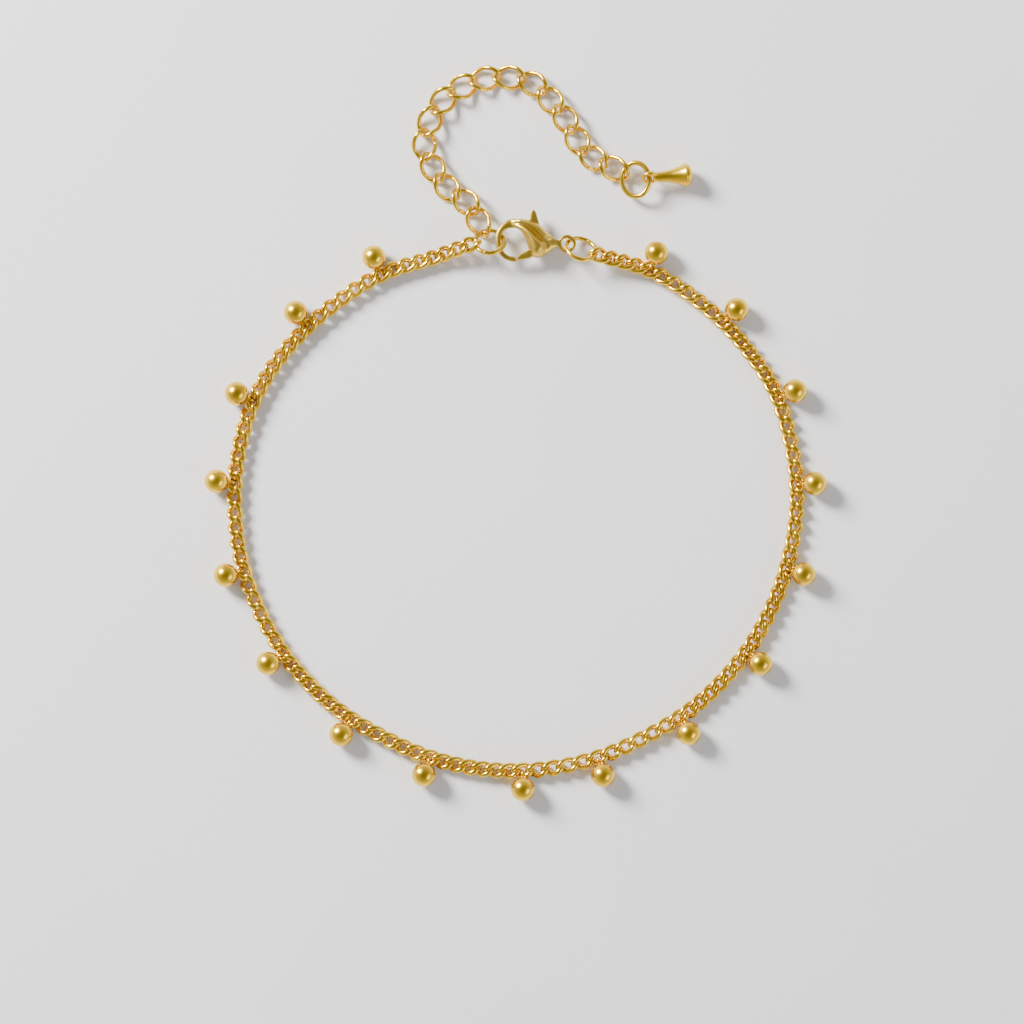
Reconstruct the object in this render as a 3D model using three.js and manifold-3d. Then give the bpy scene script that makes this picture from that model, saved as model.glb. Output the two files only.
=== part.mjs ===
// An anklet of fine curb chain, lying fastened. Ball drops hang along the chain, a lobster clasp
// joins its ends through two jump rings, and an extender of larger links ends in a cone drop.
// Millimetres, +Z up. The anklet lies on the plane z = 0, with the clasp at the far side, +Y.

import * as THREE from "three";
import { mergeVertices } from "three/addons/utils/BufferGeometryUtils.js";
import Module from "manifold-3d";

const wasm = await Module();
wasm.setup();

// Clearances
const LINK_GAP = 0.1; // between hooked pieces
const CUT_GAP = 0.3; // round an eye that sits in a notch, and at the chain's ends
const PIVOT_GAP = 0.1; // between the lever and the clasp body

// Main chain: a tube in the place of its fine links
const LOOP_RADIUS = 35.5; // the loop's size, which its route's shares follow
const CHAIN_WIDTH = 2.17;
const CHAIN_HEIGHT = 1.2;
const CHAIN_SIDES = 8;
const CHAIN_STEPS = 80;

// Route of the chain round the loop: its distance from the middle as a share of the loop radius,
// one value for each even step of angle from the left end round the front to the right end
const ROUTE_START = 108;
const ROUTE_END = 420;
const ROUTE_SHARES = [
  0.966, 0.988, 1, 1.019, 1.035, 1.035, 1.028, 1.021, 1.008,
  0.997, 0.983, 0.967, 0.963, 0.961, 0.959, 0.959, 0.961, 0.975,
  0.987, 1, 1.012, 1.025, 1.032, 1.038, 1.025, 1.011, 1,
];

// Ball drops, and where they hang as shares of the chain's length
const BALL_DIAMETER = 3;
const BALL_GAP = 0.12; // between a ball and the chain's edge
const BALL_EYE_DIAMETER = 1.46;
const BALL_EYE_WIRE = 0.36;
const BALL_SOLDER = 0.25; // how deep an eye sinks into its ball
const BALL_STATIONS = [
  0.06, 0.117, 0.176, 0.229, 0.285, 0.343, 0.403, 0.458, 0.517,
  0.565, 0.622, 0.681, 0.74, 0.794, 0.85, 0.909, 0.967,
];

// Jump rings
const RING_WIRE = 0.6;
const END_RING_DIAMETER = 4.4; // the ring at the chain's left end
const END_RING_TILT = 33;
const CLASP_RING_DIAMETER = 4.56; // the ring on the clasp's tail eye
const CLASP_RING_TILT = 42;
const CLASP_RING_HEADING = -20; // direction from the tail eye to the chain
const CHAIN_HEADING = 189.5; // direction in which the chain leaves the end ring

// Lobster clasp. Its outlines are shares of its length from the middle of the hook's opening.
const CLASP_LENGTH = 10.4;
const CLASP_PLACE = 0.971; // the clasp's distance from the loop's middle, in loop radii
const CLASP_HEIGHT = 1.85; // its middle plane above the ground, held up by its rings
const CLASP_THICKNESS = 2.4;
const HOOK_THICKNESS = 0.55;
const BULGE_RISE = 0.35;
const RIDGE_RISE = 0.2;
const BODY_BEVEL = 0.2;
const EDGE_BEVEL = 0.12; // on the hook and the raised forms
const TAIL_EYE_DIAMETER = 2.4;
const TAIL_EYE_WIRE = 0.5;
const RIVET_DIAMETER = 0.7;
const LEVER_THICKNESS = 0.9;
const LEVER_SWING = 25;
const HOOK_ARM_WIDTH = 0.058; // likewise a share of the length
const HOOK_ARM_PLACE = [-0.213, 0.008]; // where the end ring passes round the hook's arm
const TAIL_EYE_PLACE = [0.637, -0.016];
const RIVET_PLACE = [0.322, -0.01];
const HOOK_OUTER = [
  [0.003, -0.231], [-0.042, -0.233], [-0.134, -0.204], [-0.201, -0.139], [-0.238, -0.053],
  [-0.25, 0.043], [-0.233, 0.13], [-0.192, 0.201], [-0.109, 0.269], [-0.019, 0.293],
];
const HOOK_INNER = [
  [-0.019, 0.192], [-0.087, 0.186], [-0.146, 0.158], [-0.182, 0.1], [-0.193, 0.02],
  [-0.187, -0.058], [-0.152, -0.128], [-0.088, -0.176], [-0.012, -0.189],
];
const BODY_OUTER = [
  [-0.091, 0.277], [0.016, 0.297], [0.151, 0.285], [0.293, 0.226],
  [0.393, 0.134], [0.477, 0.059], [0.538, 0.029],
];
const BODY_LOWER = [
  [0.538, -0.048], [0.461, -0.092], [0.352, -0.167], [0.251, -0.194], [0.185, -0.168],
];
const BODY_INNER = [
  [0.156, -0.096], [0.135, -0.019], [0.115, 0.048], [0.082, 0.111],
  [0.034, 0.16], [-0.025, 0.186], [-0.091, 0.186],
];
const BULGE_OUTLINE = [
  [-0.082, 0.204], [-0.019, 0.226], [0.096, 0.204], [0.183, 0.152], [0.264, 0.062],
  [0.308, -0.014], [0.303, -0.101], [0.25, -0.165], [0.202, -0.144], [0.163, -0.058],
  [0.137, 0.029], [0.096, 0.111], [0.038, 0.168], [-0.019, 0.192],
];
const RIDGE_OUTLINE = [
  [-0.082, 0.245], [-0.072, 0.271], [0.016, 0.288], [0.144, 0.275], [0.287, 0.216],
  [0.385, 0.125], [0.457, 0.06], [0.404, 0.04], [0.332, 0.048], [0.269, 0.111],
  [0.188, 0.185], [0.101, 0.231], [-0.025, 0.25],
];
const GATE_OUTLINE = [
  [0.01, -0.178], [0.024, -0.222], [0.183, -0.2], [0.3, -0.1], [0.34, 0.05], [0.25, 0.02],
  [0.143, -0.093],
];
const THUMB_OUTLINE = [
  [0.26, -0.02], [0.38, 0.0], [0.3, 0.21], [0.257, 0.37], [0.243, 0.4], [0.216, 0.412],
  [0.189, 0.4], [0.175, 0.37], [0.165, 0.28], [0.215, 0.14],
];
const LEVER_BOSS = 0.082; // radius of the round part about the rivet

// Extender chain: centres of its route as shares of its length, from its first link's centre
const EXTENDER_LINKS = 16;
const EXTENDER_WIRE = 0.48;
const EXTENDER_LINK_LENGTH = 4.53;
const EXTENDER_LINK_WIDTH = 3.35;
const LINK_SLACK = 0.4; // how much shorter the chain lies than it could hang
const LINK_TWIST = 50; // how far each end of a link turns from the level
const LINK_RISE = 0.41; // how far its middle line then rises and falls, in half widths
const EXTENDER_HEADING = 115; // direction in which the first link leaves the end ring
const HOOKED_LEAN = 16; // how far the links on a jump ring lean
const HOOKED_RISE = 0.2; // how much higher than the others they lie
const FIRST_TURN = -4; // how far the first link turns from the route towards its ring's middle
const EXTENDER_ROUTE = [
  [0, 0], [-0.031, 0.049], [-0.078, 0.085], [-0.14, 0.195], [-0.101, 0.305], [0.003, 0.368],
  [0.129, 0.362], [0.213, 0.279], [0.278, 0.177], [0.345, 0.139],
];

// End ring and cone drop of the extender
const LAST_RING_LENGTH = 5.1;
const LAST_RING_WIDTH = 4.4;
const LAST_RING_WIRE = 0.7;
const LAST_RING_TILT = 17;
const LAST_RING_LOW = 0.9; // height of its wire where it passes through the last link
const CONE_HEADING = 5;
const CONE_EYE_DIAMETER = 2.3;
const CONE_EYE_WIRE = 0.5;
const CONE_EYE_TURN = 60; // how far the eye's plane turns about the cone's axis
const CONE_WIDEST = 0.8; // where along its length the cone is widest and touches the ground
const CONE_RADIUS = 1.55;
const CONE_LENGTH = 4.7;
const CONE_PROFILE = [
  [0, 0.0], [0.42, 0.0], [0.5, 0.05], [0.5, 0.12], [0.45, 0.16], [0.5, 0.3],
  [0.6, 0.45], [0.8, 0.65], [0.97, 0.77], [1, 0.8], [0.96, 0.86], [0.7, 0.94], [0, 1],
];

// Facets
const BALL_SIDES = 12;
const BALL_RINGS = 8;
const LINK_SIDES = 10;
const RING_SIDES = 16;
const WIRE_SIDES = 6;
const EYE_SIDES = 10;
const FINE_WIRE_SIDES = 5;

const UP = new THREE.Vector3(0, 0, 1);
const radians = THREE.MathUtils.degToRad;

// Materials
function gold(colour, roughness) {
  return new THREE.MeshStandardMaterial({ color: colour, roughness, metalness: 1 });
}

const chainGold = gold(0xd9a93f, 0.3);
const ballGold = gold(0xe0b040, 0.22);
const ringGold = gold(0xdcae48, 0.25);
const claspGold = gold(0xd8ab4c, 0.35);

// Solids and geometries
function solidOf(geometry) {
  const bare = geometry.clone();
  bare.deleteAttribute("normal");
  bare.deleteAttribute("uv");
  const merged = mergeVertices(bare, 1e-4);
  const corners = merged.index.array;
  const triangles = [];
  for (let i = 0; i < corners.length; i += 3) {
    const [a, b, c] = corners.subarray(i, i + 3);
    if (a !== b && b !== c && c !== a) triangles.push(a, b, c);
  }
  return new wasm.Manifold(
    new wasm.Mesh({
      numProp: 3,
      vertProperties: merged.attributes.position.array,
      triVerts: Uint32Array.from(triangles),
    }),
  );
}

function geometryOf(solid) {
  const mesh = solid.getMesh();
  const geometry = new THREE.BufferGeometry();
  geometry.setAttribute("position", new THREE.BufferAttribute(mesh.vertProperties, 3));
  geometry.setIndex(new THREE.BufferAttribute(mesh.triVerts, 1));
  geometry.computeVertexNormals();
  return geometry;
}

function joined(...geometries) {
  return geometries.map(solidOf).reduce((whole, next) => whole.add(next));
}

function named(name, geometry, material) {
  const mesh = new THREE.Mesh(geometry, material);
  mesh.name = name;
  return mesh;
}

// A direction in the plane of the ground, from its angle in degrees
function heading(degrees) {
  return new THREE.Vector3(Math.cos(radians(degrees)), Math.sin(radians(degrees)), 0);
}

// Numbered node names such as ball_drop_01
function numbered(word, index) {
  return word + "_" + String(index + 1).padStart(2, "0");
}

// A path that doesn't dip below its lowest point, and whose sections stay upright: their first
// axis up, their second across the path
class UprightPath extends THREE.CatmullRomCurve3 {
  getPoint(t, target = new THREE.Vector3()) {
    const lowest = Math.min(...this.points.map((point) => point.z));
    super.getPoint(t, target);
    return target.setZ(Math.max(target.z, lowest));
  }

  computeFrenetFrames(steps) {
    const tangents = [];
    const normals = [];
    const binormals = [];
    for (let i = 0; i <= steps; i++) {
      const tangent = this.getTangentAt(i / steps);
      const across = new THREE.Vector3().crossVectors(tangent, UP).normalize();
      tangents.push(tangent);
      normals.push(new THREE.Vector3().crossVectors(across, tangent));
      binormals.push(across);
    }
    return { tangents, normals, binormals };
  }
}

// The middle line of a link: an oval in the ground's plane, its two ends turned opposite ways
// about its long axis
class TwistedOval extends THREE.Curve {
  constructor(halfLength, halfWidth, twist) {
    super();
    this.halfLength = halfLength;
    this.halfWidth = halfWidth;
    this.twist = twist;
  }

  getPoint(t, target = new THREE.Vector3()) {
    const angle = 2 * Math.PI * t;
    const turn = this.twist * Math.cos(angle);
    const across = this.halfWidth * Math.sin(angle);
    return target.set(
      this.halfLength * Math.cos(angle),
      across * Math.cos(turn),
      across * Math.sin(turn),
    );
  }
}

// A jump ring of the given outer length and width, tilted about its length, which points along the
// given heading, so that its left side seen along that heading lies low
function jumpRing(name, length, width, wire, tilt, axisHeading, centre) {
  const oval = new TwistedOval((length - wire) / 2, (width - wire) / 2, 0);
  const tube = new THREE.TubeGeometry(oval, RING_SIDES, wire / 2, WIRE_SIDES, true);
  const ring = named(name, tube, ringGold);
  ring.rotation.x = -radians(tilt);
  const turned = new THREE.Group();
  turned.rotation.z = radians(axisHeading);
  turned.position.copy(centre);
  turned.add(ring);
  return turned;
}

// Where the clasp and its two rings lie
const claspPlace = new THREE.Vector3(0, CLASP_PLACE * LOOP_RADIUS, CLASP_HEIGHT);
const hookArmWidth = HOOK_ARM_WIDTH * CLASP_LENGTH;

function claspPoint([x, y]) {
  return new THREE.Vector3(x, y, 0).multiplyScalar(CLASP_LENGTH).add(claspPlace);
}

const endRingRadius = (END_RING_DIAMETER - RING_WIRE) / 2;
const endRingCentre = claspPoint(HOOK_ARM_PLACE).add(
  new THREE.Vector3(hookArmWidth / 2 + LINK_GAP + RING_WIRE / 2 - endRingRadius, 0, 0),
);
const claspRingRadius = (CLASP_RING_DIAMETER - RING_WIRE) / 2;
const claspRingCentre = claspPoint(TAIL_EYE_PLACE).addScaledVector(
  heading(CLASP_RING_HEADING),
  claspRingRadius,
);

// Main chain
function chainPath() {
  const start = endRingCentre
    .clone()
    .addScaledVector(heading(CHAIN_HEADING), END_RING_DIAMETER / 2 + CUT_GAP);
  const end = claspRingCentre
    .clone()
    .addScaledVector(heading(CLASP_RING_HEADING), CLASP_RING_DIAMETER / 2 + CUT_GAP);
  const step = (ROUTE_END - ROUTE_START) / (ROUTE_SHARES.length - 1);
  const between = ROUTE_SHARES.map((share, i) =>
    heading(ROUTE_START + i * step)
      .multiplyScalar(share * LOOP_RADIUS)
      .setZ(CHAIN_HEIGHT / 2),
  );
  return new UprightPath([start, ...between, end], false, "centripetal");
}

// The chain's section: flat faces below and above, its first axis up
function chainSection() {
  const half = Math.PI / CHAIN_SIDES;
  const section = new THREE.Shape();
  for (let i = 0; i < CHAIN_SIDES; i++) {
    const angle = (2 * i + 1) * half;
    const x = (CHAIN_HEIGHT / 2) * (Math.cos(angle) / Math.cos(half));
    const y = (CHAIN_WIDTH / 2) * (Math.sin(angle) / Math.cos(half));
    if (i === 0) section.moveTo(x, y);
    else section.lineTo(x, y);
  }
  return section;
}

const ballRadius = BALL_DIAMETER / 2;
const eyeRadius = (BALL_EYE_DIAMETER - BALL_EYE_WIRE) / 2;
const ballToEye = ballRadius + BALL_EYE_DIAMETER / 2 - BALL_SOLDER;
const eyeDrop = ballRadius - BALL_EYE_DIAMETER / 2; // an eye lies on the ground, below its ball
const eyeInset = Math.sqrt(ballToEye ** 2 - eyeDrop ** 2);
const ballOffset =
  CHAIN_WIDTH / 2 +
  Math.sqrt((ballRadius + BALL_GAP) ** 2 - (ballRadius - CHAIN_HEIGHT / 2) ** 2);

// A frame on the chain at a ball's station, its first axis pointing out of the loop
function ballFrame(path, station) {
  const outward = new THREE.Vector3().crossVectors(path.getTangentAt(station), UP).normalize();
  const frame = new THREE.Group();
  frame.position.copy(path.getPointAt(station)).setZ(0);
  frame.rotation.z = Math.atan2(outward.y, outward.x);
  frame.updateMatrix();
  return frame;
}

// The room that a ball's eye needs in the chain
function eyeNotch() {
  const reach = ballOffset - eyeInset - BALL_EYE_DIAMETER / 2 - CUT_GAP;
  const notch = new THREE.BoxGeometry(
    CHAIN_WIDTH - reach,
    BALL_EYE_WIRE + 2 * CUT_GAP,
    4 * CHAIN_HEIGHT,
  );
  return notch.translate(reach + (CHAIN_WIDTH - reach) / 2, 0, 0);
}

function curbChain(path) {
  const tube = new THREE.ExtrudeGeometry(chainSection(), {
    steps: CHAIN_STEPS,
    extrudePath: path,
  });
  let solid = solidOf(tube);
  for (const station of BALL_STATIONS) {
    const notch = eyeNotch().applyMatrix4(ballFrame(path, station).matrix);
    solid = solid.subtract(solidOf(notch));
  }
  return named("curb_chain", geometryOf(solid), chainGold);
}

// Ball drops
function ballDrop(name) {
  const ball = new THREE.SphereGeometry(ballRadius, BALL_SIDES, BALL_RINGS);
  ball.rotateX(Math.PI / 2);
  const eye = new THREE.TorusGeometry(eyeRadius, BALL_EYE_WIRE / 2, FINE_WIRE_SIDES, EYE_SIDES);
  eye.rotateX(Math.PI / 2);
  eye.translate(-eyeInset, 0, -eyeDrop);
  return named(name, geometryOf(joined(ball, eye)), ballGold);
}

function ballDrops(path) {
  return BALL_STATIONS.map((station, i) => {
    const frame = ballFrame(path, station);
    const drop = ballDrop(numbered("ball_drop", i));
    drop.position.set(ballOffset, 0, ballRadius);
    frame.add(drop);
    return frame;
  });
}

// Lobster clasp
function claspShape(...outlines) {
  const points = outlines.map((outline) =>
    outline.map(([x, y]) => new THREE.Vector2(x, y).multiplyScalar(CLASP_LENGTH)),
  );
  const shape = new THREE.Shape();
  points.forEach(([first, ...others], i) => {
    if (i === 0) shape.moveTo(first.x, first.y);
    else shape.lineTo(first.x, first.y);
    shape.splineThru(others);
  });
  return shape;
}

// A plate of the given outline about the clasp's middle plane, with rounded edges
function plate(shape, low, high, bevel) {
  const geometry = new THREE.ExtrudeGeometry(shape, {
    depth: high - low - 2 * bevel,
    bevelEnabled: bevel > 0,
    bevelThickness: bevel,
    bevelSize: bevel,
    bevelOffset: -bevel,
    bevelSegments: 1,
    curveSegments: 1,
  });
  return geometry.translate(0, 0, low + bevel);
}

function polygon(outline) {
  return new THREE.Shape(
    outline.map(([x, y]) => new THREE.Vector2(x, y).multiplyScalar(CLASP_LENGTH)),
  );
}

// The lever about its rivet's axis, grown by a gap on every side
function leverSolid(gap) {
  const half = LEVER_THICKNESS / 2 + gap;
  const grown = (outline) => {
    const geometry = plate(polygon(outline), -half, half, 0);
    if (gap === 0) return solidOf(geometry);
    const shifted = [0, 1, 2, 3, 4, 5, 6, 7].map((i) => {
      const step = heading(45 * i).multiplyScalar(gap / Math.cos(Math.PI / 8));
      return solidOf(geometry.clone().translate(step.x, step.y, 0));
    });
    return wasm.Manifold.hull(shifted);
  };
  const boss = new THREE.CylinderGeometry(
    LEVER_BOSS * CLASP_LENGTH + gap,
    LEVER_BOSS * CLASP_LENGTH + gap,
    2 * half,
    RING_SIDES,
  );
  boss.rotateX(Math.PI / 2);
  const [rivetX, rivetY] = RIVET_PLACE;
  const back = [-rivetX * CLASP_LENGTH, -rivetY * CLASP_LENGTH, 0];
  return grown(GATE_OUTLINE).add(grown(THUMB_OUTLINE)).translate(back).add(solidOf(boss));
}

function rivet(diameter, length) {
  const pin = new THREE.CylinderGeometry(diameter / 2, diameter / 2, length, LINK_SIDES);
  return solidOf(pin.rotateX(Math.PI / 2));
}

function rivetOffset() {
  return [RIVET_PLACE[0] * CLASP_LENGTH, RIVET_PLACE[1] * CLASP_LENGTH, 0];
}

function claspBody() {
  const half = CLASP_THICKNESS / 2;
  const hookHalf = HOOK_THICKNESS / 2;
  const hook = plate(claspShape(HOOK_OUTER, HOOK_INNER), -hookHalf, hookHalf, EDGE_BEVEL);
  const cheeks = plate(claspShape(BODY_OUTER, BODY_LOWER, BODY_INNER), -half, half, BODY_BEVEL);
  const bulge = plate(claspShape(BULGE_OUTLINE), 0, half + BULGE_RISE, EDGE_BEVEL);
  const ridge = plate(claspShape(RIDGE_OUTLINE), 0, half + RIDGE_RISE, EDGE_BEVEL);
  const eye = new THREE.TorusGeometry(
    (TAIL_EYE_DIAMETER - TAIL_EYE_WIRE) / 2,
    TAIL_EYE_WIRE / 2,
    WIRE_SIDES,
    RING_SIDES,
  );
  eye.translate(TAIL_EYE_PLACE[0] * CLASP_LENGTH, TAIL_EYE_PLACE[1] * CLASP_LENGTH, 0);
  let slot = leverSolid(PIVOT_GAP);
  for (const share of [1 / 3, 2 / 3, 1]) {
    slot = slot.add(leverSolid(PIVOT_GAP).rotate([0, 0, -share * LEVER_SWING]));
  }
  const body = joined(hook, cheeks, bulge, ridge, eye)
    .subtract(slot.translate(rivetOffset()))
    .add(rivet(RIVET_DIAMETER, CLASP_THICKNESS).translate(rivetOffset()));
  return named("clasp_body", geometryOf(body), claspGold);
}

function claspLever() {
  const bore = rivet(RIVET_DIAMETER + 2 * PIVOT_GAP, 2 * LEVER_THICKNESS);
  const lever = named("clasp_lever", geometryOf(leverSolid(0).subtract(bore)), claspGold);
  lever.position.set(...rivetOffset());
  return lever;
}

function lobsterClasp() {
  const clasp = new THREE.Group();
  clasp.position.copy(claspPlace);
  clasp.add(claspBody(), claspLever());
  return clasp;
}

// Extender
const linkHalfLength = (EXTENDER_LINK_LENGTH - EXTENDER_WIRE) / 2;
const linkHalfWidth = (EXTENDER_LINK_WIDTH - EXTENDER_WIRE) / 2;
const linkPitch = 2 * linkHalfLength - EXTENDER_WIRE - LINK_SLACK;
const linkHeight = LINK_RISE * linkHalfWidth + EXTENDER_WIRE / 2;

function extenderLink(name) {
  const oval = new TwistedOval(linkHalfLength, linkHalfWidth, radians(LINK_TWIST));
  const wire = new THREE.TubeGeometry(oval, LINK_SIDES, EXTENDER_WIRE / 2, FINE_WIRE_SIDES, true);
  return named(name, wire, ringGold);
}

function extenderPath() {
  const length = EXTENDER_LINKS * linkPitch;
  const first = endRingCentre
    .clone()
    .addScaledVector(
      heading(EXTENDER_HEADING),
      endRingRadius * Math.cos(radians(END_RING_TILT)) +
        linkHalfLength - (EXTENDER_WIRE + RING_WIRE) / 2 - LINK_GAP,
    )
    .setZ(linkHeight);
  const points = EXTENDER_ROUTE.map(([x, y]) =>
    new THREE.Vector3(x, y, 0).multiplyScalar(length).add(first),
  );
  for (const raised of [0, 1, points.length - 1]) points[raised].z += HOOKED_RISE;
  return new UprightPath(points, false, "centripetal");
}

// A point and a heading at a distance along a path, which runs on straight past its end
function along(path, distance) {
  const length = path.getLength();
  const share = Math.min(distance / length, 1);
  const tangent = path.getTangentAt(share);
  const point = path.getPointAt(share).addScaledVector(tangent, Math.max(distance - length, 0));
  return { point, tangent };
}

function extender(path) {
  const lean = { 0: -radians(HOOKED_LEAN), [EXTENDER_LINKS - 1]: radians(HOOKED_LEAN) };
  const links = [];
  for (let i = 0; i < EXTENDER_LINKS; i++) {
    const { point, tangent } = along(path, i * linkPitch);
    const link = extenderLink(numbered("extender_link", i));
    link.rotation.x = lean[i] ?? 0;
    const laid = new THREE.Group();
    laid.position.copy(point);
    laid.rotation.z = Math.atan2(tangent.y, tangent.x) + (i === 0 ? radians(FIRST_TURN) : 0);
    laid.add(link);
    links.push(laid);
  }
  return links;
}

// End ring and cone drop
function coneDrop() {
  const profile = CONE_PROFILE.map(
    ([r, z]) => new THREE.Vector2(r * CONE_RADIUS, z * CONE_LENGTH),
  );
  const cone = new THREE.LatheGeometry(profile, BALL_SIDES);
  cone.rotateZ(-Math.PI / 2);
  const eyeMean = (CONE_EYE_DIAMETER - CONE_EYE_WIRE) / 2;
  const eye = new THREE.TorusGeometry(eyeMean, CONE_EYE_WIRE / 2, FINE_WIRE_SIDES, EYE_SIDES);
  eye.rotateX(radians(CONE_EYE_TURN));
  eye.translate(-eyeMean, 0, 0);
  return named("cone_drop", geometryOf(joined(cone, eye)), ballGold);
}

function extenderEnd(path) {
  const { point, tangent } = along(path, (EXTENDER_LINKS - 1) * linkPitch);
  const halfWidth = (LAST_RING_WIDTH - LAST_RING_WIRE) / 2;
  const level = halfWidth * Math.cos(radians(LAST_RING_TILT));
  const rise = halfWidth * Math.sin(radians(LAST_RING_TILT));
  const hook = linkHalfLength - (EXTENDER_WIRE + LAST_RING_WIRE) / 2 - LINK_GAP;
  const centre = point
    .clone()
    .addScaledVector(tangent, hook - LINK_GAP + level)
    .setZ(LAST_RING_LOW + rise);
  const ring = jumpRing(
    "extender_end_ring",
    LAST_RING_LENGTH,
    LAST_RING_WIDTH,
    LAST_RING_WIRE,
    LAST_RING_TILT,
    CONE_HEADING + 90,
    centre,
  );
  const eyeMean = (CONE_EYE_DIAMETER - CONE_EYE_WIRE) / 2;
  const eyeSlack = eyeMean - (CONE_EYE_WIRE + LAST_RING_WIRE) / 2 - 2 * LINK_GAP;
  const eyeHeight = centre.z + rise;
  const droop = Math.asin((eyeHeight - CONE_RADIUS) / (eyeMean + CONE_WIDEST * CONE_LENGTH));
  const cone = coneDrop();
  cone.position.x = eyeMean;
  const sloped = new THREE.Group();
  sloped.rotation.y = droop;
  sloped.add(cone);
  const laid = new THREE.Group();
  laid.rotation.z = radians(CONE_HEADING);
  laid.position
    .copy(centre)
    .addScaledVector(heading(CONE_HEADING), level + eyeSlack)
    .setZ(eyeHeight);
  laid.add(sloped);
  return [ring, laid];
}

// The whole anklet, with the middle of its box over the origin
const path = chainPath();
const trail = extenderPath();
const anklet = new THREE.Group();
anklet.add(
  curbChain(path),
  ...ballDrops(path),
  jumpRing(
    "chain_end_ring",
    END_RING_DIAMETER,
    END_RING_DIAMETER,
    RING_WIRE,
    END_RING_TILT,
    0,
    endRingCentre,
  ),
  jumpRing(
    "clasp_ring",
    CLASP_RING_DIAMETER,
    CLASP_RING_DIAMETER,
    RING_WIRE,
    CLASP_RING_TILT,
    CLASP_RING_HEADING,
    claspRingCentre,
  ),
  lobsterClasp(),
  ...extender(trail),
  ...extenderEnd(trail),
);
anklet.updateMatrixWorld(true);
const box = new THREE.Box3().setFromObject(anklet, true);
const middle = box.getCenter(new THREE.Vector3());
anklet.position.set(-middle.x, -middle.y, -box.min.z);

export default anklet;
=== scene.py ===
import math

import bpy
import numpy as np
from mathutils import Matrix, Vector


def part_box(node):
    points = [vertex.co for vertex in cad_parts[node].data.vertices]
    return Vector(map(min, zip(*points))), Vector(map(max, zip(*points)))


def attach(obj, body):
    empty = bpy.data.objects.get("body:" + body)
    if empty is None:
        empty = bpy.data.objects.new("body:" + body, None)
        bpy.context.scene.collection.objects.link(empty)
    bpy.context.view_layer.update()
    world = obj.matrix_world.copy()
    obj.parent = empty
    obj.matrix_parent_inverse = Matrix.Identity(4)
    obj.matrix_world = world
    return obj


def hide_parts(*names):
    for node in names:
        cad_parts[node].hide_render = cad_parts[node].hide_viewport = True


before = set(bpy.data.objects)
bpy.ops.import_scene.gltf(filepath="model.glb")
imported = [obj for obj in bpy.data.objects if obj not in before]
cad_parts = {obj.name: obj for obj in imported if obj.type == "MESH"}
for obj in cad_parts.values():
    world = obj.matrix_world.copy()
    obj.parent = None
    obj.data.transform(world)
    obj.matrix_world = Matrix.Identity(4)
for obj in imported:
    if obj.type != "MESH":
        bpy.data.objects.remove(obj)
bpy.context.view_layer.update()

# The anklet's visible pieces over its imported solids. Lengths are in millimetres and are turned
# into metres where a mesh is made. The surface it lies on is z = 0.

MM = 0.001
TANGENT_REACH = 0.2


def middle(node):
    low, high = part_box(node)
    return np.array([(a + b) / 2 / MM for a, b in zip(low, high)])


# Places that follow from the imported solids
END_RING = middle("chain_end_ring")
CLASP_RING = middle("clasp_ring")
LAST_RING = middle("extender_end_ring")
FIRST_LINK = middle("extender_link_01")

# Main chain
LOOP_RADIUS = 35.5
ROUTE_START, ROUTE_END = 108, 420
ROUTE_SHARES = [
    0.966, 0.988, 1, 1.019, 1.035, 1.035, 1.028, 1.021, 1.008,
    0.997, 0.983, 0.967, 0.963, 0.961, 0.959, 0.959, 0.961, 0.975,
    0.987, 1, 1.012, 1.025, 1.032, 1.038, 1.025, 1.011, 1,
]
CHAIN_WIDTH, CHAIN_HEIGHT = 2.17, 1.2
CHAIN_HEADING = 189.5
CLASP_RING_HEADING = -20
END_RING_DIAMETER, CLASP_RING_DIAMETER, RING_WIRE = 4.4, 4.56, 0.6
END_RING_TILT, CLASP_RING_TILT = 33, 42
CUT_GAP, LINK_GAP = 0.3, 0.1
LINK_PITCH = 1.863
LINK_WIRE = 0.72
LINK_HALF_LENGTH = 1.26
LINK_HALF_WIDTH = 0.76
LINK_TWIST = -60
LINK_SHEAR = -0.38
LINK_ROLL = 13
LINK_LIFT = 0.21

# Ball drops
BALL_STATIONS = [
    0.06, 0.117, 0.176, 0.229, 0.285, 0.343, 0.403, 0.458, 0.517,
    0.565, 0.622, 0.681, 0.74, 0.794, 0.85, 0.909, 0.967,
]
BALL_RADIUS, BALL_GAP = 1.55, 0.07
BALL_EYE_DIAMETER, BALL_EYE_WIRE, BALL_SOLDER = 1.46, 0.36, 0.25

# Clasp
CLASP_LENGTH, CLASP_PLACE, CLASP_HEIGHT = 10.4, 0.971, 1.85
HOOK_ARM_WIDTH, HOOK_ARM_PLACE = 0.058, (-0.213, 0.008)
RIVET_PLACE = (0.322, -0.01)
TAIL_EYE_PLACE = (0.637, -0.016)

# Extender
EXTENDER_LINKS, EXTENDER_PITCH = 16, 3.17
EXTENDER_WIRE = 0.6
EXTENDER_HALF_LENGTH, EXTENDER_HALF_WIDTH = 2.025, 1.435
EXTENDER_TWIST = 50
HOOKED_LEAN, HOOKED_RISE, FIRST_TURN = 16, 0.2, -4
EXTENDER_ROUTE = [
    (0, 0), (-0.031, 0.049), (-0.078, 0.085), (-0.14, 0.195), (-0.101, 0.305), (0.003, 0.368),
    (0.129, 0.362), (0.213, 0.279), (0.278, 0.177), (0.345, 0.139),
]
LAST_RING_LENGTH, LAST_RING_WIDTH, LAST_RING_WIRE, LAST_RING_TILT = 5.1, 4.4, 0.7, 17

# Cone drop
CONE_HEADING = 5
CONE_RADIUS, CONE_LENGTH, CONE_WIDEST = 1.55, 4.7, 0.8
CONE_EYE_DIAMETER, CONE_EYE_WIRE, CONE_EYE_TURN = 2.3, 0.5, 60


# Vectors, paths and tubes

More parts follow.
